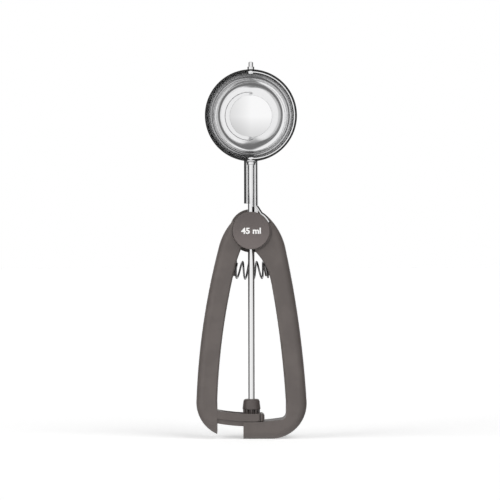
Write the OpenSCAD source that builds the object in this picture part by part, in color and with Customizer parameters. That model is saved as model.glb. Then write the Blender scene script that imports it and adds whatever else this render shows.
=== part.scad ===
// Lever scoop: a half-round bowl with a turning scraper blade, driven by squeezing the left handle.
// Millimetres. X points right, Y points away from the bowl's mouth, Z points up.
// The origin lies on the sole of the foot, straight below the drive rod.

/* [Bowl] */
// Inner diameter of the half-round bowl, which sets how much one scoop holds
bowl_d = 53.4; // [50:0.2:56]
// Thickness of the bowl's pressed sheet
bowl_wall = 0.9; // [0.7:0.1:1]
// Length of the straight rim in front of the half-round
rim_h = 2.6; // [2.6:0.1:3]
// Height of the bowl's centre above the pivot
bowl_rise = 69.1; // [67:0.1:72]

/* [Scraper and drive] */
// Width of the scraper blade
blade_w = 7; // [5:0.5:8]
// Thickness of the scraper blade
blade_t = 0.6; // [0.5:0.1:0.8]
// Angle of the resting blade behind the plane of the handles, degrees
blade_rest = 9; // [7:0.5:14]
// Diameter of the drive rod
rod_d = 3.9; // [3.7:0.1:4]
// Diameter of the pin at the bowl's tip
tip_pin_d = 2.8; // [2.4:0.1:3]
// Running clearance of the turning fits, on the radius
run_fit = 0.06; // [0.03:0.01:0.09]

/* [Teeth] */
// Module of the pinion and of the toothed arm
tooth_module = 0.9; // [0.86:0.02:0.92]
// Backlash between the pinion and the toothed arm
backlash = 0.16; // [0.1:0.02:0.2]

/* [Handles] */
// Height of the pivot above the sole
pivot_z = 124.6; // [122:0.2:128]
// Width of a grip, seen from the front
grip_w = 12.4; // [12:0.2:13]
// Half of the width across both grips at the widest point
half_span = 33.06; // [32:0.02:34]
// Reach of the handles in front of the rod
grip_front = 8; // [8:0.1:8.6]
// Reach of the handles behind the rod
grip_back = 14.5; // [14.5:0.1:16]
// Wall of the hollow grips
grip_wall = 2.2; // [2:0.1:2.6]

/* [Stem] */
// Thickness of the stem's bent sheet
sheet = 1.3; // [1.1:0.1:1.4]
// Outer width of the stem's channel
stem_w = 8.4; // [8.2:0.1:9]

/* [Spring] */
// Outer diameter of the return spring
spring_d = 11.5; // [10.9:0.1:11.6]
// Diameter of the spring's wire
wire_d = 1.2; // [1:0.1:1.3]

/* [Hidden] */
$fn = 96;
fine = 240;

// bowl and blade
bowl_z = pivot_z + bowl_rise;
bowl_in = bowl_d / 2;
bowl_out = bowl_in + bowl_wall;
blade_out = bowl_in - 0.25;
blade_in = blade_out - blade_t;
rod_r = rod_d / 2;
tail_r = 1.2;
rod_head_r = 2.1;
rod_shoulder_z = bowl_z - blade_out - 0.1;
rod_head_z = bowl_z - sqrt(blade_in * blade_in - rod_head_r * rod_head_r) + 0.02;
neck_r = rod_r + run_fit;
pin_r = tip_pin_d / 2;
pin_head_r = pin_r + 0.8;
pin_head_z = bowl_z + sqrt(blade_in * blade_in - pin_head_r * pin_head_r) - 0.02;
pin_top_z = bowl_z + bowl_out + 4.6;

// grips: heel arc, long flank arc and shoulder arc, each tangent to the next
heel_r = 21.3;
heel = [half_span - heel_r, heel_r];
lever_heel_r = 20.8;
lever_lift = 1.1;
lever_heel = [half_span - lever_heel_r, lever_heel_r + lever_lift];
flank_r = 605;
shoulder_r = 36.9;
shoulder = [half_span - 48.62, pivot_z - 18.2];
shoulder_top = 50;
// the lever's flank is rounder and its shoulder a little lower than the fixed handle's
lever_flank_r = 422;
lever_shoulder = [shoulder[0] - 0.8, shoulder[1] - 0.64];
lever_top = 42;
edge_out_front = 4.5;
edge_out_back = 3;
edge_in = 1.2;
cover_t = 2;
ledge = 0.8;
cover_gap = 0.1;
hollow_z = [32.1, pivot_z - 36];

// hub
barrel_r = 11;
socket_r = 9.3;
recess_r = 12.6;
face_y = -grip_front + 0.6;
floor_y = 2.8 + sheet + 0.03;
barrel_back = 7.6;
hub_front = 7.8;
hub_back = grip_back + 0.05;
hub_r = 13.1;
hub_gap = 0.3;
pivot_r = 2.5;
cap_r = 11.2;
strip_in = 11.25;
strip_out = strip_in + 1.2;
channel = stem_w / 2;
stem_back = 2.8 + sheet;
channel_end_z = pivot_z + 16.2;
flare_z = pivot_z + 15;
plate_r = 9;

// toothed arm and pinion
arm_h = 4.5;
rack_r = pivot_z - 13.2;
arm_in = rack_r - 1.9;
arm_out = arm_in + arm_h;
arm_fillet = 1.3;
bar_end = 4.6;
bar_step = 0.6;
bar_round = 1.9;
end_groove_w = 0.75;
end_groove_depth = 1.7;
loop_round = 3.4;
tongue_low = arm_out + 3;
tongue_front = 6.95;
tongue_back = 5.85;
tongue_gap = 0.3;
teeth = 10;
pitch_r = tooth_module * teeth / 2;
tip_r = pitch_r + 0.89 * tooth_module;
root_r = pitch_r - 1.11 * tooth_module;
pressure = 25;
base_r = pitch_r * cos(pressure);
tooth_arc = 180 / 3.14159265 * (tooth_module * 3.14159265 / 2 - backlash / 2) / (2 * pitch_r);
rack_step = 180 * tooth_module / rack_r;
slot_half = tip_r + 0.4;
arm_half = slot_half + 2.1;
squeeze = 6.3;
slot_left = -rack_r * sin(squeeze) - 0.7;
pinion_low = 10.9;
pinion_teeth_top = 17.6;
pinion_top = 23.7;
inner_x = 20.6;

// return spring, bent along an arc between its two seats
arc_r = 52.7;
arc_x = -0.6;
spring_z = pivot_z - 24;
spring_y = 7.95;
coil_r = (spring_d - wire_d) / 2;
seat_half = 10.2;
seat_angle = asin(seat_half / arc_r);
turns = 5.4;
dead_turns = 0.7;
dead_pitch = wire_d * 1.1;
live_pitch = (2 * seat_half - 2 * dead_turns * dead_pitch) / (turns - 2 * dead_turns);
steps = 26;
ring = 8;

// ---------- helpers ----------

// a flat shape drawn as seen from the front, between two depths
module plate_xz(front, back) {
  translate([0, back, 0]) rotate([90, 0, 0]) linear_extrude(back - front) children();
}

// a round bar along Y
module drum(c, r, front, back) {
  translate([c[0], back, c[1]]) rotate([90, 0, 0]) cylinder(r = r, h = back - front);
}

// a section carried round a centre seen from the front; section x is the radius, section y points to the front
module sweep_xz(c, from, to) {
  translate([c[0], 0, c[1]]) rotate([90, 0, 0]) rotate([0, 0, from]) rotate_extrude(angle = to - from, $fn = fine)
    children();
}

function on_hub(r, a) = [r * sin(a), pivot_z + r * cos(a)];

// centre of the long arc that touches the two given circles from outside of them
function long_centre(a, ra, b, rb, r) =
  let(d = norm(b - a), u = (b - a) / d, s = ((r - ra) * (r - ra) - (r - rb) * (r - rb) + d * d) / (2 * d))
  let(h = sqrt((r - ra) * (r - ra) - s * s))
  [a[0] + s * u[0] - h * u[1], a[1] + s * u[1] + h * u[0]];

function bearing(a, b) = atan2(b[1] - a[1], b[0] - a[0]);

// the waste outside a rounded corner; sx and sy say which way the corner points
module corner_waste(x, y, sx, sy, r) {
  translate([x - sx * r, y - sy * r]) difference() {
    translate([sx > 0 ? 0 : -r - 1, sy > 0 ? 0 : -r - 1]) square(r + 1);
    circle(r = r);
  }
}

// a grip's section with its outer edge at radius r; inset draws it that much smaller all round
module grip_section(r, inset = 0) {
  out = r - inset;
  inner = r - grip_w + inset;
  front = grip_front - inset;
  back = -grip_back + inset;
  difference() {
    translate([inner, back]) square([out - inner, front - back]);
    corner_waste(out, front, 1, 1, edge_out_front);
    corner_waste(out, back, 1, -1, edge_out_back);
    corner_waste(inner, back, -1, -1, edge_in);
    corner_waste(inner, front, -1, 1, edge_in);
  }
}

// the web that carries a grip's inner edge up to the hub
module web_section(r, w) {
  front = grip_front - 0.06;
  back = -grip_back + 0.06;
  difference() {
    translate([r, back]) square([w, front - back]);
    corner_waste(r, back, -1, -1, edge_in);
    corner_waste(r, front, -1, 1, edge_in);
  }
}

module grip(c, r, s, fr, top) {
  centre = long_centre(c, r, s, shoulder_r, fr);
  low = bearing(centre, c);
  high = bearing(centre, s);
  sweep_xz(c, -90, low) grip_section(r);
  // the flank runs a little into both neighbours, and is drawn a hair smaller so that the surfaces stay apart
  sweep_xz(centre, low - 0.05, high + 0.05) grip_section(fr, 0.02);
  sweep_xz(s, high, top) grip_section(shoulder_r);
}

// carries a section along a flank, as far as the hollow reaches and that much further at each end
module along_hollow(c, r, s, fr, more) {
  centre = long_centre(c, r, s, shoulder_r, fr);
  sweep_xz(centre, asin((hollow_z[0] - more - centre[1]) / fr), asin((hollow_z[1] + more - centre[1]) / fr))
    children();
}

// the hollow of a grip, open at the back, with the ledge its cover lies on
module grip_hollow(c, r, s, fr) {
  inner = fr - grip_w;
  along_hollow(c, r, s, fr, 0)
    translate([inner + grip_wall, -grip_back - 1])
      square([grip_w - 2 * grip_wall, grip_back + 1 + grip_front - grip_wall]);
  along_hollow(c, r, s, fr, ledge)
    translate([inner + grip_wall - ledge, -grip_back - 1])
      square([grip_w - 2 * (grip_wall - ledge), 1 + cover_t]);
}

module grip_cover(c, r, s, fr) {
  inner = fr - grip_w;
  side = grip_wall - ledge + cover_gap;
  along_hollow(c, r, s, fr, ledge - cover_gap) intersection() {
    grip_section(fr);
    translate([inner + side, -grip_back - 1]) square([grip_w - 2 * side, 1 + cover_t]);
  }
}

// a spring seat cut into a handle: side 1 is the right end, side -1 the left end
module seat_cut(side) {
  translate([arc_x, spring_y, spring_z + arc_r])
    rotate([0, -side * seat_angle, 0])
      translate([side * (wire_d / 2 + 0.02), 0, -arc_r])
        rotate([0, -side * 90, 0]) {
          cylinder(r = spring_d / 2 + 0.3, h = 9);
          translate([-spring_d / 2 - 0.3, 0, 0]) cube([spring_d + 0.6, grip_back, 9]);
        }
}

module seat_peg(side) {
  translate([arc_x, spring_y, spring_z + arc_r])
    rotate([0, -side * seat_angle, 0])
      translate([side * (wire_d / 2 + 0.5), 0, -arc_r])
        rotate([0, -side * 90, 0]) cylinder(r = coil_r - wire_d / 2 - 0.4, h = 3.2);
}

// ---------- fixed right handle ----------

module fixed_handle_body() {
  grip(heel, heel_r, shoulder, flank_r, shoulder_top);
  translate([heel[0], 0, heel[1]]) rotate([0, 90, 0]) rotate([180, 0, 0]) linear_extrude(heel[0] + 4.9)
    grip_section(heel_r);
  sweep_xz([-21.6, pivot_z - 36.6], 8.5, 55) web_section(34, 7);
  drum([0, pivot_z], barrel_r, face_y, barrel_back);
}

// room for the toothed arm above the foot, with the fillet at the heel
module arm_room() {
  wall_x = heel[0] + heel_r - grip_w + 0.05;
  corner = [wall_x - 3.3, pivot_z - sqrt((arm_out + 0.4 - 3.3) * (arm_out + 0.4 - 3.3) - (wall_x - 3.3) * (wall_x - 3.3))];
  plate_xz(-grip_front - 1, grip_back + 1) {
    intersection() {
      translate([0, pivot_z]) circle(r = arm_out + 0.4, $fn = 720);
      translate([-6, 5]) square([corner[0] + 6, 17]);
    }
    translate([-6, corner[1]]) square([wall_x + 6, 22 - corner[1]]);
    translate(corner) circle(r = 3.3);
  }
}

module fixed_handle() {
  color([0.4, 0.37, 0.36]) {
    difference() {
      fixed_handle_body();
      arm_room();
      // shallow round recess under the cap, socket for the stem's round plate and the pivot bore
      drum([0, pivot_z], recess_r, -grip_front - 1, face_y);
      drum([0, pivot_z], socket_r, -grip_front - 1, floor_y);
      drum([0, pivot_z], pivot_r + 0.03, floor_y - 1, grip_back + 1);
      // ways for the rod below the hub, and for the rod and the stem's web above it
      translate([-2.4, -grip_front - 1, pivot_z - 16]) cube([4.8, grip_front + 3.5, 10]);
      translate([-2.4, -grip_front - 1, pivot_z + 4]) cube([channel + 2.7, grip_front + 1 + floor_y, 12]);
      // curved slot for the stem's side strip
      intersection() {
        difference() {
          drum([0, pivot_z], strip_out + 0.1, -grip_front - 1, floor_y + 0.1);
          drum([0, pivot_z], strip_in - 0.1, -grip_front - 2, floor_y + 1);
        }
        translate([on_hub(strip_out, 30)[0] - 0.6, -grip_front - 2, on_hub(strip_in, 66)[1]])
          cube([20, grip_front + floor_y + 4, 20]);
      }
      // half lap: the lever's hub turns behind the barrel
      drum([0, pivot_z], hub_r + hub_gap, barrel_back, grip_back + 1);
      translate([-20, barrel_back, pivot_z + 3]) cube([60, grip_back, 30]);
      // foot bearing of the rod
      translate([0, 0, 2.8]) cylinder(r = rod_r + run_fit, h = 20);
      // groove for the tongue under the arm
      intersection() {
        difference() {
          drum([0, pivot_z], tongue_low + 0.4, -tongue_front - tongue_gap, -tongue_back + tongue_gap);
          drum([0, pivot_z], arm_out - 2, -tongue_front - 1, -tongue_back + 1);
        }
        translate([-6, -tongue_front - 1, 0]) cube([23.5, 4, 30]);
      }
      grip_hollow(heel, heel_r, shoulder, flank_r);
      seat_cut(1);
    }
    seat_peg(1);
  }
}

module fixed_handle_cover() {
  color([0.42, 0.39, 0.38]) grip_cover(heel, heel_r, shoulder, flank_r);
}

// ---------- lever (left handle) with its toothed arm ----------

// a long flat shape with rounded ends, along X
module rounded_bar(x0, x1, half, r) {
  difference() {
    translate([x0, -half]) square([x1 - x0, 2 * half]);
    for (side = [-1, 1]) {
      corner_waste(x0, side * half, -1, side, r);
      corner_waste(x1, side * half, 1, side, r);
    }
  }
}

module rack_tooth() {
  half = tooth_module * 3.14159265 / 4 - backlash / 4;
  slope = tan(pressure);
  y_tip = -pitch_r + 0.78 * tooth_module;
  y_root = -slot_half - 0.3;
  linear_extrude(arm_h - 0.4) polygon([
    [-half - (-pitch_r - y_root) * slope, y_root], [half + (-pitch_r - y_root) * slope, y_root],
    [half - 0.78 * tooth_module * slope, y_tip], [-half + 0.78 * tooth_module * slope, y_tip]
  ]);
}

// the arm as seen from the front: a bar bent round the pivot, with a rounded right end
module arm_front() {
  left = -asin((inner_x + 1.5) / rack_r);
  right = asin(arm_half / rack_r);
  translate([0, pivot_z]) difference() {
    intersection() {
      difference() {
        circle(r = arm_out, $fn = 720);
        circle(r = arm_in, $fn = 720);
      }
      polygon([[0, 0], [140 * sin(left), -140 * cos(left)], [140 * sin(right), -140 * cos(right)]]);
    }
    rotate(right) {
      corner_waste(0, -arm_in, 1, 1, arm_h / 2 - 0.3);
      corner_waste(0, -arm_out, 1, -1, arm_h / 2 - 0.3);
    }
  }
}

// places what is drawn below the pivot at the end of the front bar
module at_bar_end() {
  translate([0, pivot_z]) rotate(asin(bar_end / rack_r)) children();
}

module arm() {
  difference() {
    intersection() {
      plate_xz(-arm_half - 1, arm_half + 1) arm_front();
      linear_extrude(40) rounded_bar(-inner_x - 9, arm_half, arm_half, loop_round);
    }
    // the loop's slot, in which the pinion runs
    linear_extrude(40) rounded_bar(slot_left - slot_half, slot_half, slot_half, slot_half - 0.3);
    // the front bar ends in a rounded step, with a groove between it and the loop's end
    plate_xz(-arm_half - 1, -arm_half + bar_step) at_bar_end() {
      translate([0, -arm_out - 1]) square([6, arm_h + 2]);
      corner_waste(0, -arm_in + 0.15, 1, 1, bar_round);
      corner_waste(0, -arm_out - 0.15, 1, -1, bar_round);
    }
    plate_xz(-arm_half - 2, -arm_half + end_groove_depth) at_bar_end() translate([0.2, -arm_out - 2])
      square([end_groove_w, arm_h + 4]);
  }
  for (i = [-1:4]) {
    translate([0, 0, pivot_z]) rotate([0, (i + 0.5) * rack_step, 0]) translate([0, 0, -arm_out + 0.2]) rack_tooth();
  }
  // tongue that slides in the foot's groove
  sweep_xz([0, pivot_z], -90 - asin((inner_x + 1) / rack_r), -88)
    translate([arm_out - 0.5, tongue_back]) square([tongue_low - arm_out + 0.5, tongue_front - tongue_back]);
}

module lever_handle_body() {
  mirror([1, 0, 0]) {
    grip(lever_heel, lever_heel_r, lever_shoulder, lever_flank_r, lever_top);
    sweep_xz([-137.3, pivot_z - 66.2], 12, 23.5) web_section(153.7, 6.5);
  }
  drum([0, pivot_z], hub_r, hub_front, hub_back);
}

module lever_handle() {
  color([0.41, 0.38, 0.37]) {
    difference() {
      lever_handle_body();
      // the front layer stays clear of the barrel
      drum([0, pivot_z], barrel_r + 0.4, -grip_front - 1, hub_front);
      drum([0, pivot_z], pivot_r + run_fit, hub_front - 1, grip_back + 1);
      // the heel ends in a straight inner face
      translate([-inner_x, -grip_front - 1, -2]) cube([inner_x + 10, grip_front + grip_back + 2, lever_heel[1] + 2]);
      mirror([1, 0, 0]) grip_hollow(lever_heel, lever_heel_r, lever_shoulder, lever_flank_r);
      seat_cut(-1);
    }
    seat_peg(-1);
    arm();
    // fillet between the arm and the grip
    plate_xz(-arm_half + 0.1, arm_half - 0.1)
      translate([-inner_x - 0.1, pivot_z - sqrt(arm_in * arm_in - inner_x * inner_x) - 0.35]) difference() {
        translate([-0.4, -0.7]) square([arm_fillet + 0.4, arm_fillet + 0.7]);
        translate([arm_fillet, arm_fillet]) circle(r = arm_fillet);
      }
  }
}

module lever_handle_cover() {
  color([0.42, 0.39, 0.38]) mirror([1, 0, 0]) grip_cover(lever_heel, lever_heel_r, lever_shoulder, lever_flank_r);
}

// ---------- hub parts ----------

// the space of the bowl and its straight rim, which the pieces against it stay out of
module rim_room() {
  drum([0, bowl_z], bowl_out + 0.06, -rim_h - 6, 0.5);
}

module capacity_cap() {
  color([0.42, 0.39, 0.38]) translate([0, 0, pivot_z]) rotate([90, 0, 0]) rotate_extrude() {
    difference() {
      translate([0, -face_y + 0.02]) square([cap_r, 2.78]);
      translate([cap_r - 0.8, -face_y + 2]) difference() {
        square([2, 2]);
        circle(r = 0.8);
      }
    }
    translate([8.2, 2.7]) square([1.05, -face_y - 2.5]);
  }
}

module pivot_rivet() {
  color([0.75, 0.76, 0.77]) translate([0, 0, pivot_z]) rotate([-90, 0, 0]) {
    translate([0, 0, 2.8]) cylinder(r1 = 4, r2 = pivot_r, h = sheet);
    translate([0, 0, 2.8 + sheet]) cylinder(r = pivot_r, h = hub_back + 0.85 - 2.8 - sheet);
    translate([0, 0, hub_back + 0.85]) intersection() {
      cylinder(r = 4.6, h = 3);
      translate([0, 0, -4.7]) sphere(r = 6.6);
    }
  }
}

module rivet_washer() {
  color([0.7, 0.71, 0.72]) translate([0, 0, pivot_z]) rotate([-90, 0, 0]) translate([0, 0, hub_back + 0.03])
    difference() {
      cylinder(r = 5.6, h = 0.8);
      translate([0, 0, -1]) cylinder(r = pivot_r + 0.02, h = 3);
    }
}

// ---------- stem and bowl ----------

module flange_plate(x0, x1, low) {
  intersection() {
    translate([x0, 0, 0]) rotate([90, 0, 90]) linear_extrude(x1 - x0) polygon([
      [stem_back, flare_z], [stem_back, bowl_z - 24], [-2.6, bowl_z - 24], [-2.6, pivot_z + 25.4], [face_y, flare_z]
    ]);
    translate([-10, -20, low]) cube([20, 40, 60]);
  }
}

module stem_bracket() {
  color([0.72, 0.73, 0.74]) {
    difference() {
      union() {
        plate_xz(2.8, stem_back) polygon([
          [-channel, channel_end_z], [-channel, bowl_z - 24], [channel, bowl_z - 24], [channel, pivot_z + 4],
          [-1.9, pivot_z + 4], [-1.9, channel_end_z]
        ]);
        drum([0, pivot_z], plate_r, 2.8, stem_back);
        flange_plate(-channel, -channel + sheet, channel_end_z);
        flange_plate(channel - sheet, channel, flare_z);
        // the right flange bends outwards and runs on as a strip round the hub
        plate_xz(face_y + 0.03, stem_back - 0.03) polygon([
          [channel - sheet + 0.04, flare_z + 0.3], [channel - 0.04, flare_z + 0.3], [channel - 0.02, flare_z - 0.1],
          on_hub(strip_out - 0.1, 37), on_hub(strip_in - 0.12, 36), on_hub(strip_in - 0.12, 32.5),
          [channel - sheet + 0.02, flare_z - 0.6]
        ]);
        sweep_xz([0, pivot_z], 25, 56.5) translate([strip_in, -stem_back])
          square([strip_out - strip_in, stem_back - face_y]);
      }
      translate([0, 0, bowl_z]) sphere(r = bowl_out + 0.04, $fn = 200);
      rim_room();
      // countersink for the pivot rivet
      translate([0, 0, pivot_z]) rotate([-90, 0, 0]) translate([0, 0, 2.8])
        cylinder(r1 = 4.02, r2 = pivot_r + 0.02, h = sheet);
    }
    // strap that follows the back of the bowl
    intersection() {
      translate([0, 0, bowl_z]) difference() {
        sphere(r = bowl_out + 0.04 + sheet, $fn = 200);
        sphere(r = bowl_out + 0.04, $fn = 200);
      }
      plate_xz(2.8, 40) {
        translate([-channel, bowl_z - 35]) square([stem_w, 16]);
        translate([0, bowl_z - 19]) circle(r = channel);
      }
    }
  }
}

module bowl() {
  color([0.78, 0.79, 0.8]) translate([0, 0, bowl_z]) difference() {
    union() {
      rotate([90, 0, 0]) rotate_extrude($fn = 200) {
        intersection() {
          difference() {
            circle(r = bowl_out, $fn = 200);
            circle(r = bowl_in, $fn = 200);
          }
          translate([0, -bowl_out - 1]) square([bowl_out + 1, bowl_out + 1]);
        }
        translate([bowl_in, 0]) square([bowl_wall, rim_h - bowl_wall / 2]);
        translate([bowl_in + bowl_wall / 2, rim_h - bowl_wall / 2]) circle(r = bowl_wall / 2, $fn = 24);
      }
      // drawn neck round the rod
      difference() {
        translate([0, 0, -bowl_out - 1.9]) cylinder(r = neck_r + 0.5, h = 2.2);
        sphere(r = bowl_in + bowl_wall / 2, $fn = 200);
      }
    }
    translate([0, 0, -bowl_out - 3]) cylinder(r = neck_r, h = 6);
    translate([0, 0, bowl_in - 3]) cylinder(r = pin_r, h = 6);
  }
}

// ---------- pins at the bowl's tip ----------

module tip_pin() {
  color([0.75, 0.76, 0.77]) rotate_extrude() polygon([
    [0, pin_head_z - 0.8], [pin_head_r, pin_head_z - 0.8], [pin_head_r, pin_head_z], [pin_r, pin_head_z],
    [pin_r, pin_top_z - 0.4], [pin_r - 0.4, pin_top_z], [0, pin_top_z]
  ]);
}

module tip_collar() {
  color([0.75, 0.76, 0.77]) difference() {
    translate([0, 0, bowl_z + bowl_out - 0.3]) cylinder(r = pin_r + 0.7, h = 1.9);
    translate([0, 0, bowl_z]) sphere(r = bowl_out + 0.04, $fn = 200);
    rim_room();
    translate([0, 0, bowl_z]) cylinder(r = pin_r + 0.01, h = 40);
  }
}

// ---------- turning parts ----------

module drive_rod() {
  color([0.78, 0.79, 0.8]) {
    translate([0, 0, 3]) cylinder(r1 = rod_r - 0.5, r2 = rod_r, h = 0.5);
    translate([0, 0, 3.5]) cylinder(r = rod_r, h = rod_shoulder_z - 3.5);
    translate([0, 0, rod_shoulder_z - 0.2]) cylinder(r = tail_r, h = rod_head_z - rod_shoulder_z + 0.5);
    translate([0, 0, rod_head_z]) intersection() {
      cylinder(r = rod_head_r, h = 2);
      translate([0, 0, -2.6]) sphere(r = 3.5);
    }
  }
}

function involute(r) = tan(acos(base_r / r)) * 180 / 3.14159265 - acos(base_r / r);
function flank_half(r) = tooth_arc + involute(pitch_r) - involute(max(r, base_r));
function polar(r, a) = [r * cos(a), r * sin(a)];

// outline of one tooth space and one tooth, as points round the pinion
function tooth_points(mid) = [
  polar(root_r, mid - flank_half(base_r) - 1.5),
  for (k = [0:3]) let(r = base_r + (tip_r - base_r) * k / 3) polar(r, mid - flank_half(r)),
  for (k = [0:3]) let(r = tip_r - (tip_r - base_r) * k / 3) polar(r, mid + flank_half(r)),
  polar(root_r, mid + flank_half(base_r) + 1.5)
];

module pinion_collar() {
  color([0.4, 0.37, 0.36]) difference() {
    union() {
      translate([0, 0, pinion_low]) linear_extrude(pinion_teeth_top - pinion_low)
        polygon([for (i = [0:teeth - 1]) each tooth_points(-90 + i * 360 / teeth)]);
      rotate_extrude() {
        polygon([
          [0, pinion_teeth_top], [tip_r + 0.15, pinion_teeth_top], [tip_r - 0.4, pinion_top - 1.6],
          [tip_r - 2, pinion_top], [0, pinion_top]
        ]);
        translate([tip_r - 2, pinion_top - 1.6]) circle(r = 1.6);
      }
    }
    translate([0, 0, pinion_low - 1]) cylinder(r = rod_r + 0.01, h = pinion_top);
  }
}

module scraper_blade() {
  color([0.78, 0.79, 0.8]) translate([0, 0, bowl_z]) rotate([0, 0, blade_rest]) difference() {
    intersection() {
      difference() {
        sphere(r = blade_out, $fn = 200);
        sphere(r = blade_in, $fn = 200);
      }
      union() {
        translate([0, -blade_w / 2, -40]) cube([40, blade_w, 80]);
        translate([0, 0, -40]) cylinder(r = 2.7, h = 80);
      }
    }
    translate([0, 0, -40]) cylinder(r = tail_r + 0.01, h = 40);
    cylinder(r = pin_r + run_fit, h = 40);
  }
}

// ---------- return spring ----------

function coil_run(u) =
  u < dead_turns ? u * dead_pitch :
  u > turns - dead_turns ? 2 * seat_half - (turns - u) * dead_pitch :
  dead_turns * dead_pitch + (u - dead_turns) * live_pitch;

// a point of the wire's centre line, u turns from the left end
function coil_point(u) =
  let(a = (coil_run(u) - seat_half) / arc_r * 180 / 3.14159265, q = 180 + 360 * (u - 2.6))
  let(r = arc_r + coil_r * cos(q))
  [arc_x + r * sin(a), spring_y + coil_r * sin(q), spring_z + arc_r - r * cos(a)];

function unit(v) = v / norm(v);

function wire_ring(u) =
  let(p = coil_point(u), t = unit(coil_point(u + 0.01) - coil_point(u - 0.01)))
  let(a = (coil_run(u) - seat_half) / arc_r * 180 / 3.14159265, q = 180 + 360 * (u - 2.6))
  let(n = unit([cos(q) * sin(a), sin(q), -cos(q) * cos(a)]), b = cross(t, n))
  [for (k = [0:ring - 1]) p + wire_d / 2 * (cos(k * 360 / ring) * n + sin(k * 360 / ring) * b)];

module return_spring() {
  count = ceil(turns * steps);
  points = [for (i = [0:count]) each wire_ring(i * turns / count)];
  sides = [for (i = [0:count - 1], k = [0:ring - 1])
    each [
      [i * ring + k, (i + 1) * ring + k, i * ring + (k + 1) % ring],
      [i * ring + (k + 1) % ring, (i + 1) * ring + k, (i + 1) * ring + (k + 1) % ring]
    ]];
  ends = [[for (k = [0:ring - 1]) k], [for (k = [0:ring - 1]) count * ring + ring - 1 - k]];
  color([0.6, 0.61, 0.62]) polyhedron(points = points, faces = concat(sides, ends), convexity = 10);
}

fixed_handle();
fixed_handle_cover();
capacity_cap();
stem_bracket();
bowl();
tip_pin();
tip_collar();
pivot_rivet();
rivet_washer();
return_spring();
lever_handle();
lever_handle_cover();
drive_rod();
pinion_collar();
scraper_blade();
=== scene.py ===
"""Looks of the lever scoop: polished bowl, blade and rod, matte handles, coil spring, and a plain studio."""

import math

import bmesh
import bpy
from mathutils import Matrix, Vector


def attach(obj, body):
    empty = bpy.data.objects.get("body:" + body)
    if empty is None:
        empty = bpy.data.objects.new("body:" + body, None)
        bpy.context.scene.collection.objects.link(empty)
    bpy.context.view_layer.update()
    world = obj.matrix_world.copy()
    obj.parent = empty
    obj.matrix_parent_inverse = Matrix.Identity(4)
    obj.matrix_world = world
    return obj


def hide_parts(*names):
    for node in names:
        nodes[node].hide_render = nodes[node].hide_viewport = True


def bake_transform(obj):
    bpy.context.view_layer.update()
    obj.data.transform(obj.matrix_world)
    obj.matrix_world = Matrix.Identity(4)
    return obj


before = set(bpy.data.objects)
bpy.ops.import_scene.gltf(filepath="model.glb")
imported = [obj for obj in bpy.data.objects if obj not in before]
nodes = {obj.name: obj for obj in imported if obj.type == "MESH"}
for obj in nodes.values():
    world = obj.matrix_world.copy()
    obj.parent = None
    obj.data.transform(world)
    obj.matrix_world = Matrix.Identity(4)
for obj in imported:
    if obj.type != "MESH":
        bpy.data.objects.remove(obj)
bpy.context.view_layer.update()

# one millimetre in the scene's metres
MM = 0.001

# ---------- sizes of the scoop, in millimetres, as in the part's source ----------

PIVOT_Z = 124.6
RUN_FIT = 0.06

# bowl and blade
BOWL_Z = PIVOT_Z + 69.1
BOWL_IN = 26.7
BOWL_WALL = 0.9
BOWL_OUT = BOWL_IN + BOWL_WALL
RIM_H = 2.6
RIM_ROUND = BOWL_WALL / 2
BLADE_OUT = BOWL_IN - 0.25
BLADE_IN = BLADE_OUT - 0.6
PIN_R = 1.4

# drive rod, and the bowl's neck round it
ROD_R = 1.95
ROD_LOW = 3
ROD_LOW_BREAK = 0.5
SHOULDER_Z = BOWL_Z - BLADE_OUT - 0.1
TAIL_R = 1.2
HEAD_R = 2.1
HEAD_Z = BOWL_Z - math.sqrt(BLADE_IN ** 2 - HEAD_R ** 2) + 0.02
HEAD_H = 0.9
DOME_R = 3.5
DOME_Z = HEAD_Z + HEAD_H - DOME_R
NECK_H = 1.9
NECK_WALL = 0.5
NECK_IN = ROD_R + RUN_FIT
NECK_OUT = NECK_IN + NECK_WALL
NECK_LOW = BOWL_Z - BOWL_OUT - NECK_H

# cap over the pivot, with a round spigot at its back
CAP_R = 11.2
CAP_FACE = -10.2
CAP_BACK = -7.42
SPIGOT_OUT = 9.25
SPIGOT_IN = 8.2
SPIGOT_BACK = -2.7

# stem: its right flange bends outwards below FLARE_Z and runs on as a strip round the hub
SHEET = 1.3
PLATE_FRONT = 2.8
CHANNEL = 4.2
FLANGE_IN = CHANNEL - SHEET
FLARE_Z = PIVOT_Z + 15
STRIP_IN = 11.25

# return spring, bent along an arc between its two seats
SPRING_ARC = 52.7
SPRING_X = -0.6
SPRING_Y = 7.95
SPRING_Z = PIVOT_Z - 24
WIRE_R = 0.6
COIL_R = 5.15
SEAT_HALF = 10.2
TURNS = 5.4
DEAD_TURNS = 0.7
DEAD_PITCH = WIRE_R * 2 * 1.1
LIVE_PITCH = (2 * SEAT_HALF - 2 * DEAD_TURNS * DEAD_PITCH) / (TURNS - 2 * DEAD_TURNS)

# ---------- finer details, in millimetres ----------

CAP_EDGE = 0.75
FLAT_BAND = 0.05
RIM_BAND = 0.2
PIN_FIT = 0.02
SHOULDER_BREAK = 0.25
NECK_BREAK = 0.15
NECK_FLARE = 1.1
NECK_SUNK = 0.6

# the turn at which the spring's wire is at the top of its coil
TOP_TURN = 2.6
# over this part of a turn each cut end of the wire is thinner, down to this share of its radius
END_TURN = 0.08
END_SHARE = 0.8


# ---------- shader maths ----------

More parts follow.
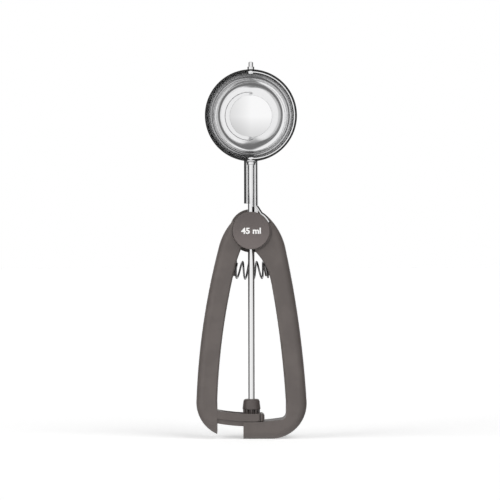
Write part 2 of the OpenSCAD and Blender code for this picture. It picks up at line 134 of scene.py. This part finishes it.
class Port:
    """One output of a shader node. Sums and products of ports add the Math nodes that work them out."""

    def __init__(self, finish, socket):
        self.finish = finish
        self.socket = socket

    def other(self, name):
        """Another output of the same node."""
        return Port(self.finish, self.socket.node.outputs[name])

    def maths(self, operation, *values):
        """A Math node in the same tree."""
        return self.finish.node("ShaderNodeMath", {"operation": operation}, dict(enumerate(values)))

    def __add__(self, other):
        return self.maths("ADD", self, other)

    def __sub__(self, other):
        return self.maths("SUBTRACT", self, other)

    def __rsub__(self, other):
        return self.maths("SUBTRACT", other, self)

    def __mul__(self, other):
        return self.maths("MULTIPLY", self, other)

    def __truediv__(self, other):
        return self.maths("DIVIDE", self, other)

    def __pow__(self, other):
        return self.maths("POWER", self, other)

    __radd__ = __add__
    __rmul__ = __mul__

    def at_least(self, floor):
        """The value where it is over floor, and floor elsewhere."""
        return self.maths("MAXIMUM", self, floor)

    def size(self):
        """The value without its sign."""
        return self.maths("ABSOLUTE", self)

    def over(self, limit):
        """1 where the value is over limit, and 0 elsewhere."""
        return self.maths("GREATER_THAN", self, limit)

    def between(self, start, end):
        """0 at start and 1 at end, with a smooth change between. The larger one may come first."""
        return self.finish.node(
            "ShaderNodeMapRange", {"interpolation_type": "SMOOTHSTEP", "clamp": True},
            {"Value": self, "From Min": start, "From Max": end},
        )


def either(mask, first, second):
    """The first number where mask is 0 and the second where it is 1."""
    return first * (1 - mask) + second * mask


class Finish:
    """A node tree that is being written: a material's or the world's."""

    def __init__(self, tree):
        self.tree = tree
        tree.nodes.clear()

    def node(self, kind, settings=None, inputs=None, output=0):
        """Adds a node, then sets its settings, then the values or links of its sockets. Gives one output."""
        made = self.tree.nodes.new(kind)
        for name, value in (settings or {}).items():
            setattr(made, name, value)
        for name, value in (inputs or {}).items():
            if isinstance(value, Port):
                self.tree.links.new(value.socket, made.inputs[name])
            else:
                made.inputs[name].default_value = value
        return Port(self, made.outputs[output] if made.outputs else None)

    def blend(self, mask, first, second):
        """The first colour where mask is 0 and the second where it is 1."""
        # the node's factor is socket 0, its two colours are 6 and 7, and the mixed colour is output 2
        return self.node("ShaderNodeMix", {"data_type": "RGBA"}, {0: mask, 6: first, 7: second}, output=2)

    def parts(self, vector):
        """The x, y and z of a vector."""
        split = self.node("ShaderNodeSeparateXYZ", None, {"Vector": vector})
        return split, split.other("Y"), split.other("Z")

    def place(self):
        """The point on the object, in metres."""
        return self.node("ShaderNodeTexCoord", output="Object")

    def millimetres(self):
        """The x, y and z of the point on the object, in millimetres."""
        return [part / MM for part in self.parts(self.place())]

    def facing(self):
        """The x, y and z of the direction that the surface faces."""
        return self.parts(self.node("ShaderNodeTexCoord", output="Normal"))

    def noise(self, where, scale, detail=2.0):
        """Soft noise between 0 and 1, with about scale cells in a metre."""
        return self.node("ShaderNodeTexNoise", None, {"Vector": where, "Scale": scale, "Detail": detail})

    def bump(self, height, strength, deep):
        """A relief that is deep, in metres, where height is 1."""
        return self.node("ShaderNodeBump", None, {"Height": height, "Strength": strength, "Distance": deep})


def rgb(red, green, blue):
    """A colour that is given as it is seen on a screen, 0 to 255."""
    linear = [c / 255 / 12.92 if c <= 10 else ((c / 255 + 0.055) / 1.055) ** 2.4 for c in (red, green, blue)]
    return (*linear, 1.0)


def shaded(colour, factor):
    """The colour made darker or lighter."""
    return (*(part * factor for part in colour[:3]), 1.0)


def steel_grey(level):
    """The very slightly cool grey of steel."""
    return (level, level, level * 1.004, 1.0)


def material(name):
    """A new material, and its node tree to write in."""
    made = bpy.data.materials.new(name)
    made.use_nodes = True
    return made, Finish(made.node_tree)


def dress(finish, **inputs):
    """Ends a material in one principled shader."""
    sockets = {name.replace("_", " "): value for name, value in inputs.items()}
    shader = finish.node("ShaderNodeBsdfPrincipled", None, sockets)
    finish.node("ShaderNodeOutputMaterial", None, {"Surface": shader})


# ---------- materials ----------

# noise cells in a metre
CLOUDS = 90
MOULD_GRAIN = 2600
POLISH_SMEARS = 160
INK_MOTTLE = 3000

# the polished bowl, and how the sheared edges of sheet steel differ from its faces: rougher, and painted
# nearly black as painted shade and dark reflection
BOWL_GREY = 0.62
BOWL_RIM_PAINTED_DARK = 0.03
SHEET_EDGE_PAINTED_DARK = 0.035
EDGE_ROUGHER = 0.2


def moulded_plastic(name, colour, grain, rough, painted_shading=0.0):
    """Matte plastic with slow tone clouds and the fine spark-eroded grain of its mould.
    Its last argument paints shade into the colour: darker towards the cap's top and paler towards the cap's
    foot, as the light falls on it."""
    made, f = material(name)
    where = f.place()
    cloud = f.noise(where, CLOUDS, 3)
    speck = f.noise(where, MOULD_GRAIN, 1)
    tone = f.blend(cloud.between(0.35, 0.65), shaded(colour, 0.93), shaded(colour, 1.08))
    if painted_shading:
        # painted shade: the cap's colour darkens towards its top and pales towards its foot, as the light
        # falls on it
        low = f.millimetres()[2].between(PIVOT_Z + CAP_R, PIVOT_Z - CAP_R)
        painted_shading_tone = f.blend(low, shaded(colour, 1 - painted_shading), shaded(colour, 1 + painted_shading))
        cloud_share = 0.3
        tone = f.blend(cloud_share, painted_shading_tone, tone)
    dress(
        f, Base_Color=tone, Roughness=rough + (speck - 0.5) * 0.12, Metallic=0.0, Specular_IOR_Level=0.42,
        Normal=f.bump(speck, strength=grain, deep=0.06 * MM),
    )
    return made


def polished_steel(name, grey, rough, cut=None):
    """Stainless steel polished on a wheel. cut gives a mask of the sheared edges of the sheet, which are
    made rougher and painted nearly black: partly a real dull band, partly painted shade and dark reflection.
    """
    made, f = material(name)
    tone = steel_grey(grey)
    rough = rough + (f.noise(f.place(), POLISH_SMEARS, 3) - 0.5) * 0.04
    if cut:
        edge = cut(f)
        # painted shade and dark reflection: the sheared edges are painted nearly black
        tone = f.blend(edge, tone, steel_grey(SHEET_EDGE_PAINTED_DARK))
        rough = rough + edge * EDGE_ROUGHER
    dress(f, Base_Color=tone, Metallic=1.0, Roughness=rough)
    return made


def spun_ring(radius, middle):
    """1 on a narrow ring round the bowl's hollow. Both are shares of the bowl's inner radius."""
    return radius.between(middle - 0.009, middle - 0.002) * radius.between(middle + 0.009, middle + 0.002)


def spun_bowl_steel(name):
    """The bowl's steel: mirror-polished but less so near the mouth, rougher and painted nearly black on the
    rim's front edge as a painted dark outline of shade and reflection, with two faint rings from the
    spinning of the sheet."""
    made, f = material(name)
    x, y, z = f.millimetres()
    radius = ((z - BOWL_Z) ** 2 + x ** 2) ** 0.5 / BOWL_IN
    rim_start = RIM_ROUND - RIM_H
    # painted shade and reflection: the rim's front edge is painted nearly black as a dark outline, and made
    # rougher
    edge = y.between(rim_start + 0.15, rim_start - 0.05)
    mouth = radius.between(0.89, 0.95)
    smear = f.noise(f.place(), POLISH_SMEARS, 3)
    rings = spun_ring(radius, 0.781) + spun_ring(radius, 0.831)
    dress(
        f, Base_Color=f.blend(edge, steel_grey(BOWL_GREY), steel_grey(BOWL_RIM_PAINTED_DARK)), Metallic=1.0,
        Roughness=(smear - 0.5) * 0.03 + 0.045 + mouth * 0.16 + edge * EDGE_ROUGHER,
        Normal=f.bump(rings, strength=0.5, deep=0.05 * MM),
    )
    return made


def sheared_edges_painted_dark(f):
    """1 on the stem's sheared edges which face the front. They are partly a real dull band and partly
    painted shade: dark gap shadows and dark reflections painted nearly black.
    """
    x, y, z = f.millimetres()
    # what faces the front and lies before the stem's plate
    front = f.facing()[1].between(-0.8, -0.9) * y.between(PLATE_FRONT - 0.2, PLATE_FRONT - 0.6)
    # the bent stretch lies between the strip on the hub and the straight flange
    on_hub = z.between(PIVOT_Z + 10.3, PIVOT_Z + 9.7)
    on_flange = z.between(FLARE_Z - 0.5, FLARE_Z)
    # distances from the pivot: round it, and at a slant over the bent stretch
    from_pivot = ((z - PIVOT_Z) ** 2 + x ** 2) ** 0.5
    slant = math.radians(32.8)
    over_bend = x * math.cos(slant) + (z - PIVOT_Z) * math.sin(slant)
    bend_line = 10.69
    left = x.between(0.2 - FLANGE_IN, -0.2 - FLANGE_IN)
    right = x.between(FLANGE_IN - 0.2, FLANGE_IN) * x.between(CHANNEL - 0.4, CHANNEL - 0.6) * on_flange
    strip = from_pivot.between(STRIP_IN + 0.65, STRIP_IN + 0.85) * on_hub
    bend = over_bend.between(bend_line - 0.075, bend_line + 0.075) * (1 - on_hub) * (1 - on_flange)
    return front * (left + right + strip + bend)


def printed_ink(name):
    """Opaque white ink. It glows a little, which is painted light, so that it reads as white as it is."""
    made, f = material(name)
    dress(
        f, Base_Color=rgb(252, 252, 250), Roughness=f.noise(f.place(), INK_MOTTLE) * 0.2 + 0.4,
        # painted light: the ink glows a little though it is no lamp
        Emission_Color=(1, 1, 1, 1), Emission_Strength=0.15,
    )
    return made


handle_plastic = moulded_plastic("handle plastic", rgb(101, 94, 91), grain=0.35, rough=0.5)
cap_plastic = moulded_plastic("cap plastic", rgb(107, 99, 97), grain=0.2, rough=0.42, painted_shading=0.34)
gear_plastic = moulded_plastic("gear plastic", rgb(88, 81, 79), grain=0.2, rough=0.4)
bowl_steel = spun_bowl_steel("bowl steel")
blade_steel = polished_steel("blade steel", grey=0.6, rough=0.08)
rod_steel = polished_steel("rod steel", grey=0.57, rough=0.09)
sheet_steel = polished_steel("sheet steel", grey=0.51, rough=0.2, cut=sheared_edges_painted_dark)
pin_steel = polished_steel("pin steel", grey=0.56, rough=0.12)
spring_wire = polished_steel("spring wire", grey=0.17, rough=0.1)
white_ink = printed_ink("white ink")


# ---------- making pieces ----------

def linked(name, data):
    """A new object in the scene."""
    made = bpy.data.objects.new(name, data)
    bpy.context.scene.collection.objects.link(made)
    return made


def mesh_of(name, verts, faces):
    """A closed mesh from points in millimetres, with all its faces turned outwards."""
    mesh = bpy.data.meshes.new(name)
    mesh.from_pydata([Vector(v) * MM for v in verts], [], faces)
    mesh.validate()
    work = bmesh.new()
    work.from_mesh(mesh)
    bmesh.ops.recalc_face_normals(work, faces=work.faces)
    work.to_mesh(mesh)
    work.free()
    return mesh


def evaluated_mesh(made):
    """The mesh of an object with its modifiers done, or of a text's filled outline."""
    bpy.context.view_layer.update()
    return bpy.data.meshes.new_from_object(made.evaluated_get(bpy.context.evaluated_depsgraph_get()))


def shade(mesh):
    """Smooth shading, broken at edges that turn by 35 degrees or more."""
    mesh.shade_smooth()
    mesh.set_sharp_from_angle(angle=math.radians(35))


def piece(name, verts, faces, body, slot, finish):
    """A mesh piece from points in millimetres. With no body, it is left unattached here, and may be attached
    later.
    """
    mesh = mesh_of(name, verts, faces)
    shade(mesh)
    mesh.materials.append(finish)
    made = linked(name, mesh)
    if body:
        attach(made, body)
    return made


def arc(x, y, r, start, end, count):
    """The count + 1 points that divide an arc evenly. Its angles are in degrees."""
    steps = [math.radians(start + (end - start) * i / count) for i in range(count + 1)]
    return [(x + r * math.cos(a), y + r * math.sin(a)) for a in steps]


def turned(profile, around, spin):
    """Points and faces of a closed outline of radius and height turned round an axis.
    spin gives the point at a radius, a height and an angle. Points with no radius are shared."""
    verts, rows = [], []
    for radius, height in profile:
        if radius < 1e-6:
            verts.append(spin(0, height, 0))
            rows.append([len(verts) - 1] * around)
        else:
            rows.append(range(len(verts), len(verts) + around))
            verts += [spin(radius, height, 2 * math.pi * k / around) for k in range(around)]
    faces = []
    for i in range(len(rows)):
        a, b = rows[i], rows[(i + 1) % len(rows)]
        for k in range(around):
            corners = [a[k], a[(k + 1) % around], b[(k + 1) % around], b[k]]
            face = [v for n, v in enumerate(corners) if v not in corners[:n]]
            if len(face) > 2:
                faces.append(face)
    return verts, faces


def about_rod(r, h, a):
    """A point turned round the upright axis of the rod."""
    return r * math.cos(a), r * math.sin(a), h


def about_y(z):
    """Turns points round an axis at height z that runs from front to back."""
    return lambda r, h, a: (r * math.cos(a), h, z + r * math.sin(a))


def bored(target, radius, low, high):
    """Cuts a round hole on the rod's axis through the wall from low to high, in millimetres."""
    past_wall = 3
    start, end = low - past_wall, high + past_wall
    cylinder = [(0, start), (radius, start), (radius, end), (0, end)]
    cutter = linked("cutter", mesh_of("cutter", *turned(cylinder, 48, about_rod)))
    cut = target.modifiers.new("bore", "BOOLEAN")
    cut.object = cutter
    cut.operation = "DIFFERENCE"
    cut.solver = "EXACT"
    mesh = evaluated_mesh(target)
    target.modifiers.remove(cut)
    target.data = mesh
    bpy.data.objects.remove(cutter)


def refine(name, finish, edge):
    """Gives a CAD node its material, and softly breaks its edges that turn by 32 degrees or more.
    edge is how far the break reaches to each side of them, in millimetres."""
    node = nodes[name]
    for slot in node.material_slots:
        slot.material = finish
    weld = node.modifiers.new("weld", "WELD")
    weld.merge_threshold = 0.002 * MM
    bevel = node.modifiers.new("broken edges", "BEVEL")
    bevel.width = edge * MM
    bevel.segments = 2
    bevel.limit_method = "ANGLE"
    bevel.angle_limit = math.radians(32)
    bevel.use_clamp_overlap = True
    normals = node.modifiers.new("weighted normals", "WEIGHTED_NORMAL")
    normals.keep_sharp = False
    normals.weight = 100


# ---------- pieces that keep the shape of their solids ----------

refine("fixed_handle", handle_plastic, edge=0.3)
refine("lever_handle", handle_plastic, edge=0.3)
refine("fixed_handle_cover", handle_plastic, edge=0.2)
refine("lever_handle_cover", handle_plastic, edge=0.2)
refine("pinion_collar", gear_plastic, edge=0.12)
refine("stem_bracket", sheet_steel, edge=0.25)
refine("scraper_blade", blade_steel, edge=0.1)
for small_part in ("pivot_rivet", "rivet_washer", "tip_pin", "tip_collar"):
    refine(small_part, pin_steel, edge=0.1)

# ---------- cap ----------

# a narrow flat band inside the rounded edge keeps the shading of the face flat
cap_profile = (
    [(0, CAP_FACE), (CAP_R - CAP_EDGE - FLAT_BAND, CAP_FACE)]
    + arc(CAP_R - CAP_EDGE, CAP_FACE + CAP_EDGE, CAP_EDGE, -90, 0, 8)
    + [(CAP_R, CAP_BACK), (SPIGOT_OUT, CAP_BACK), (SPIGOT_OUT, SPIGOT_BACK)]
    + [(SPIGOT_IN, SPIGOT_BACK), (SPIGOT_IN, CAP_BACK), (0, CAP_BACK)]
)
cap_shape = turned(cap_profile, 128, about_y(PIVOT_Z))
cap = piece("capacity_cap_face", *cap_shape, "frame", "cap_plastic", cap_plastic)
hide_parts("capacity_cap")


def capacity_mark(text, height, x, y, z):
    """Printed letters in the plane y, with the middle of their foot at x and z, all in millimetres."""
    capital_share = 0.72
    bolder = 0.155
    wider = 1.07
    ink_half = 0.02
    curve = bpy.data.curves.new("capacity_mark", "FONT")
    curve.body = text
    curve.size = height / capital_share * MM
    curve.offset = bolder * MM
    curve.extrude = ink_half * MM
    outline = linked("capacity_mark", curve)
    mesh = evaluated_mesh(outline)
    bpy.data.objects.remove(outline)
    mesh.transform(Matrix.Diagonal((wider, 1, 1, 1)) @ Matrix.Rotation(math.radians(90), 4, "X"))
    xs = [v.co.x for v in mesh.vertices]
    foot = Vector(((min(xs) + max(xs)) / 2, 0, min(v.co.z for v in mesh.vertices)))
    mesh.transform(Matrix.Translation(Vector((x, y, z)) * MM - foot))
    mesh.materials.clear()
    mesh.materials.append(white_ink)
    made = linked("capacity_mark", mesh)
    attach(made, "frame")


capacity_mark("45 ml", height=3.5, x=-0.08, y=CAP_FACE - 0.01, z=PIVOT_Z - 2)

# ---------- bowl ----------

# a narrow straight band next to the rounded edge of the rim keeps the edge crisp
bowl_profile = (
    arc(0, 0, BOWL_IN, 90, 0, 64)
    + [(BOWL_IN, RIM_ROUND - RIM_H + RIM_BAND)]
    + arc(BOWL_IN + RIM_ROUND, RIM_ROUND - RIM_H, RIM_ROUND, 180, 360, 12)
    + arc(0, 0, BOWL_OUT, 0, 90, 64)
)
bowl = piece("bowl_shell", *turned(bowl_profile, 224, about_y(BOWL_Z)), None, "polished_steel", bowl_steel)
bored(bowl, NECK_IN, BOWL_Z - BOWL_OUT, BOWL_Z - BOWL_IN)
bored(bowl, PIN_R + PIN_FIT, BOWL_Z + BOWL_IN, BOWL_Z + BOWL_OUT)
shade(bowl.data)
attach(bowl, "frame")
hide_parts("bowl")

# neck drawn down round the rod, flared where it leaves the bowl and sunk a little into the bowl's wall
neck_profile = (
    [(NECK_OUT + NECK_FLARE, BOWL_Z - BOWL_OUT + NECK_SUNK)]
    + arc(NECK_OUT + NECK_FLARE, BOWL_Z - BOWL_OUT - NECK_FLARE, NECK_FLARE, 90, 180, 10)
    + [(NECK_OUT, NECK_LOW + NECK_BREAK), (NECK_OUT - NECK_BREAK, NECK_LOW)]
    + [(NECK_IN, NECK_LOW), (NECK_IN, BOWL_Z - BOWL_OUT + NECK_SUNK)]
)
piece("bowl_neck", *turned(neck_profile, 72, about_rod), "frame", "polished_steel", pin_steel)

# ---------- drive rod ----------

rod_profile = (
    [(0, ROD_LOW), (ROD_R - ROD_LOW_BREAK, ROD_LOW), (ROD_R, ROD_LOW + ROD_LOW_BREAK)]
    + [(ROD_R, SHOULDER_Z - SHOULDER_BREAK), (ROD_R - SHOULDER_BREAK, SHOULDER_Z)]
    + [(TAIL_R, SHOULDER_Z), (TAIL_R, HEAD_Z), (HEAD_R, HEAD_Z)]
    + arc(0, DOME_Z, DOME_R, math.degrees(math.acos(HEAD_R / DOME_R)), 90, 10)
)
rod = piece("turning_rod", *turned(rod_profile, 72, about_rod), "sweeper", "polished_steel", rod_steel)
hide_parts("drive_rod")


# ---------- return spring ----------

def wire_point(u):
    """The middle of the wire u turns from its left end, and the direction there out of the coil."""
    if u < DEAD_TURNS:
        run = u * DEAD_PITCH
    elif u > TURNS - DEAD_TURNS:
        run = 2 * SEAT_HALF - (TURNS - u) * DEAD_PITCH
    else:
        run = DEAD_TURNS * DEAD_PITCH + (u - DEAD_TURNS) * LIVE_PITCH
    lean = (run - SEAT_HALF) / SPRING_ARC
    turn = math.pi + 2 * math.pi * (u - TOP_TURN)
    out = Vector((math.cos(turn) * math.sin(lean), math.sin(turn), -math.cos(turn) * math.cos(lean)))
    arc_middle = Vector((SPRING_X, SPRING_Y, SPRING_Z + SPRING_ARC))
    coil_middle = arc_middle + SPRING_ARC * Vector((math.sin(lean), 0, -math.cos(lean)))
    return coil_middle + COIL_R * out, out


def wound_wire(per_turn=56, ring=14):
    """Points and faces of the spring's wire."""
    count = round(TURNS * per_turn)
    verts, faces = [], []
    for i in range(count + 1):
        u = i * TURNS / count
        point, out = wire_point(u)
        along = (wire_point(min(u + 0.01, TURNS))[0] - wire_point(max(u - 0.01, 0))[0]).normalized()
        side = along.cross(out).normalized()
        out = side.cross(along)
        radius = WIRE_R if END_TURN < u < TURNS - END_TURN else WIRE_R * END_SHARE
        for k in range(ring):
            a = 2 * math.pi * k / ring
            verts.append(point + radius * (math.cos(a) * out + math.sin(a) * side))
    for i in range(count):
        for k in range(ring):
            n = (k + 1) % ring
            faces.append([i * ring + k, i * ring + n, (i + 1) * ring + n, (i + 1) * ring + k])
    faces.append(list(range(ring)))
    faces.append([count * ring + k for k in range(ring)])
    return verts, faces


spring = piece("return_spring_wire", *wound_wire(), None, "spring_steel", spring_wire)
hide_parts("return_spring")
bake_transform(spring)


# ---------- studio, in metres ----------

FLOOR_SIDE = 6
FLOOR_FRONT = -3
FLOOR_BACK = 14


def white_floor(name):
    """Pale paper that takes shadows. It glows just enough to be seen white where no shadow lies."""
    made, f = material(name)
    rays = f.node("ShaderNodeLightPath")
    seen = rays.other("Is Camera Ray") + rays.other("Is Glossy Ray")
    paper = f.node("ShaderNodeBsdfDiffuse", None, {"Color": (0.92, 0.92, 0.92, 1.0)})
    glow = f.node("ShaderNodeEmission", None, {"Color": (1, 1, 1, 1), "Strength": seen * 0.46})
    lit_paper = f.node("ShaderNodeAddShader", None, {0: paper, 1: glow})
    f.node("ShaderNodeOutputMaterial", None, {"Surface": lit_paper})
    return made


floor_corners = [
    (-FLOOR_SIDE, FLOOR_FRONT, 0), (FLOOR_SIDE, FLOOR_FRONT, 0),
    (FLOOR_SIDE, FLOOR_BACK, 0), (-FLOOR_SIDE, FLOOR_BACK, 0),
]
floor_mesh = bpy.data.meshes.new("studio_floor")
floor_mesh.from_pydata(floor_corners, [], [(0, 1, 2, 3)])
floor_mesh.materials.append(white_floor("white floor"))
floor = linked("studio_floor", floor_mesh)
# in steel it isn't seen, and the walls of the light room are mirrored in its place
floor.visible_glossy = False


def oval(across, height, half_width, half_height):
    """0 in the middle of an oval, 1 on its outline, and more outside."""
    return (across / half_width) ** 2 + (height / half_height) ** 2


def light_room(name):
    """A room that is seen white, with the walls that steel mirrors and a soft light from front and back."""
    room = bpy.data.worlds.new(name)
    room.use_nodes = True
    f = Finish(room.node_tree)
    right, away, up = f.parts(f.node("ShaderNodeTexCoord", output="Generated"))
    rays = f.node("ShaderNodeLightPath")

    # mirrored once: the front wall is dimmer to the right and upwards, and the back wall is even
    back_wall = away.between(0.2, 0.7)
    front_wall = 1.52 - right.at_least(0) * 0.42 - up.at_least(0) * 0.5
    once = either(back_wall, front_wall, 0.95)

    # mirrored by steel in steel: brighter, with a dark camera on its stand and a dimmer patch at the right
    camera_body = oval(right - 0.07 + up * 0.15, up + 0.05, 0.11, 0.4).between(1.6, 0.5)
    stand = ((right - 0.06) ** 2).between(0.03, 0.01) * up.between(0.05, -0.1) * up.between(-1.5, -0.2)
    side_patch = oval(right - 0.24, up + 0.08, 0.22, 0.34).between(1.3, 0.6) * 0.42
    again = (1 - camera_body) * (1 - stand) * (1 - side_patch) * 1.8 + 0.4

    # a dark gap parts the two walls at both sides, but not close to the floor or the ceiling
    in_steel = rays.other("Glossy Depth").over(1.5)
    gap = away.between(-0.42, -0.25) * away.between(0.9, 0.55) * (1 - up.size().between(0.45, 0.8))
    mirrored = either(gap, either(in_steel, once, again), in_steel * 0.14 + 0.08)

    soft_light = away ** 4 * 0.9 + 0.07
    level = either(rays.other("Is Camera Ray"), either(rays.other("Is Glossy Ray"), soft_light, mirrored), 1)
    background = f.node("ShaderNodeBackground", None, {"Color": (1, 1, 1, 1), "Strength": level})
    f.node("ShaderNodeOutputWorld", None, {"Surface": background})
    return room


bpy.context.scene.world = light_room("studio")


def lamp(name, place, power, spread):
    """A far lamp that shines from place towards the scoop's middle. spread, its width, is in degrees."""
    aim = Vector((0, 0, 0.1))
    light = bpy.data.lights.new(name, "SUN")
    light.energy = power
    light.angle = math.radians(spread)
    made = linked(name, light)
    made.location = place
    made.rotation_euler = (aim - Vector(place)).to_track_quat("-Z", "Y").to_euler()
    made.visible_glossy = False


lamp("key", (-1.1, -0.62, 0.7), power=1.35, spread=50)
lamp("side_light", (0.75, -0.75, 1.3), power=1.0, spread=40)

# the camera stands level, 1.5 m in front of the scoop, with a very small roll
camera = linked("camera", bpy.data.cameras.new("camera"))
camera.location = (-0.00072, -1.5, 0.113)
camera.rotation_euler = (math.radians(90), math.radians(0.12), 0)
camera.data.sensor_width = 36
camera.data.lens = 180
camera.data.clip_end = 20
bpy.context.scene.camera = camera

bpy.context.scene.view_settings.view_transform = "Standard"
